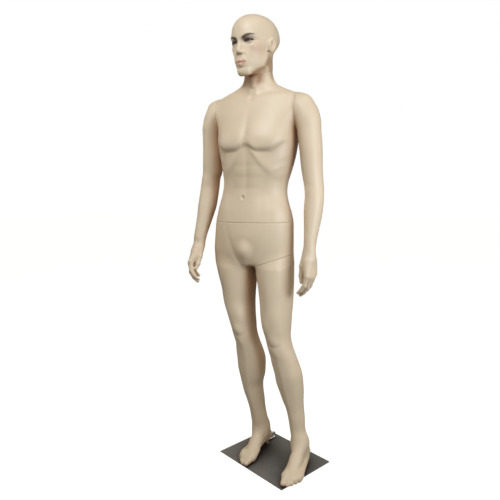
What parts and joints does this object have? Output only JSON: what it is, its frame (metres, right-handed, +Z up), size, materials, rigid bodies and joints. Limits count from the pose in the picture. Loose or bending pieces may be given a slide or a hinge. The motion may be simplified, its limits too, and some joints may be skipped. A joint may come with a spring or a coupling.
{
  "type": "standing display mannequin",
  "caption": "Full-length male display mannequin in flesh-coloured satin plastic, with lift-off torso, turning head, arms and hands, held on a thin steel plate by a bent heel rod.",
  "frame": {"origin": "centre of the steel plate's underside, on the floor", "axes": "+Z up; the figure's chest faces -Y; +X is the figure's left; the plate is turned 23 degrees clockwise seen from above"},
  "size_m": [0.583, 0.4212, 1.85],
  "materials": {
    "skin_plastic": "satin flesh-tone paint on hollow plastic",
    "plate_steel": "brushed along its length, dark",
    "bright_steel": "plain bright rod",
    "fitting_plastic": "moulded nylon",
    "screw_steel": "zinc plated"
  },
  "bodies": {
    "base": {"base_plate": "plate_steel", "heel_rod": "bright_steel", "rod_clip": "bright_steel", "clip_screws": "screw_steel"},
    "lower_body": {"lower_body_shell": "skin_plastic", "heel_bush": "fitting_plastic", "waist_socket": "fitting_plastic", "thigh_socket": "fitting_plastic", "lower_body_screws": "screw_steel", "left_leg_shell": "skin_plastic", "thigh_plug": "fitting_plastic", "left_leg_screws": "screw_steel"},
    "torso": {"torso_shell": "skin_plastic", "waist_plug": "fitting_plastic", "neck_socket": "fitting_plastic", "left_shoulder_socket": "fitting_plastic", "right_shoulder_socket": "fitting_plastic", "torso_screws": "screw_steel"},
    "head": {"head_shell": "skin_plastic", "neck_plug": "fitting_plastic", "head_screws": "screw_steel"},
    "left_arm": {"left_arm_shell": "skin_plastic", "left_shoulder_plug": "fitting_plastic", "left_wrist_bush": "fitting_plastic", "left_arm_screws": "screw_steel"},
    "right_arm": {"right_arm_shell": "skin_plastic", "right_shoulder_plug": "fitting_plastic", "right_wrist_bush": "fitting_plastic", "right_arm_screws": "screw_steel"},
    "left_hand": {"left_hand_shell": "skin_plastic", "left_wrist_peg": "fitting_plastic"},
    "right_hand": {"right_hand_shell": "skin_plastic", "right_wrist_peg": "fitting_plastic"}
  },
  "joints": [
    {"name": "figure_off_rod", "type": "slide", "parent": "base", "child": "lower_body", "axis": [-0.3907, -0.9205, 0], "range_m": [0, 0.045]},
    {"name": "torso_lift", "type": "slide", "parent": "lower_body", "child": "torso", "axis": [0, 0, 1], "range_m": [0, 0.12]},
    {"name": "head_turn", "type": "hinge", "parent": "torso", "child": "head", "pos_m": [-0.06, 0.008, 1.638], "axis": [0, -0.2588, 0.9659], "range_deg": [-90, 90]},
    {"name": "left_arm_turn", "type": "hinge", "parent": "torso", "child": "left_arm", "pos_m": [0.107, 0.02, 1.49], "axis": [-1, 0, 0], "range_deg": [-30, 120]},
    {"name": "right_arm_turn", "type": "hinge", "parent": "torso", "child": "right_arm", "pos_m": [-0.237, 0.02, 1.49], "axis": [-1, 0, 0], "range_deg": [-30, 120]},
    {"name": "left_hand_turn", "type": "hinge", "parent": "left_arm", "child": "left_hand", "pos_m": [0.175, -0.018, 0.958], "axis": [0, -0.2491, -0.9685], "range_deg": [-90, 90]},
    {"name": "right_hand_turn", "type": "hinge", "parent": "right_arm", "child": "right_hand", "pos_m": [-0.3106, -0.061, 0.968], "axis": [-0.067, -0.3459, -0.9359], "range_deg": [-90, 90]}
  ]
}
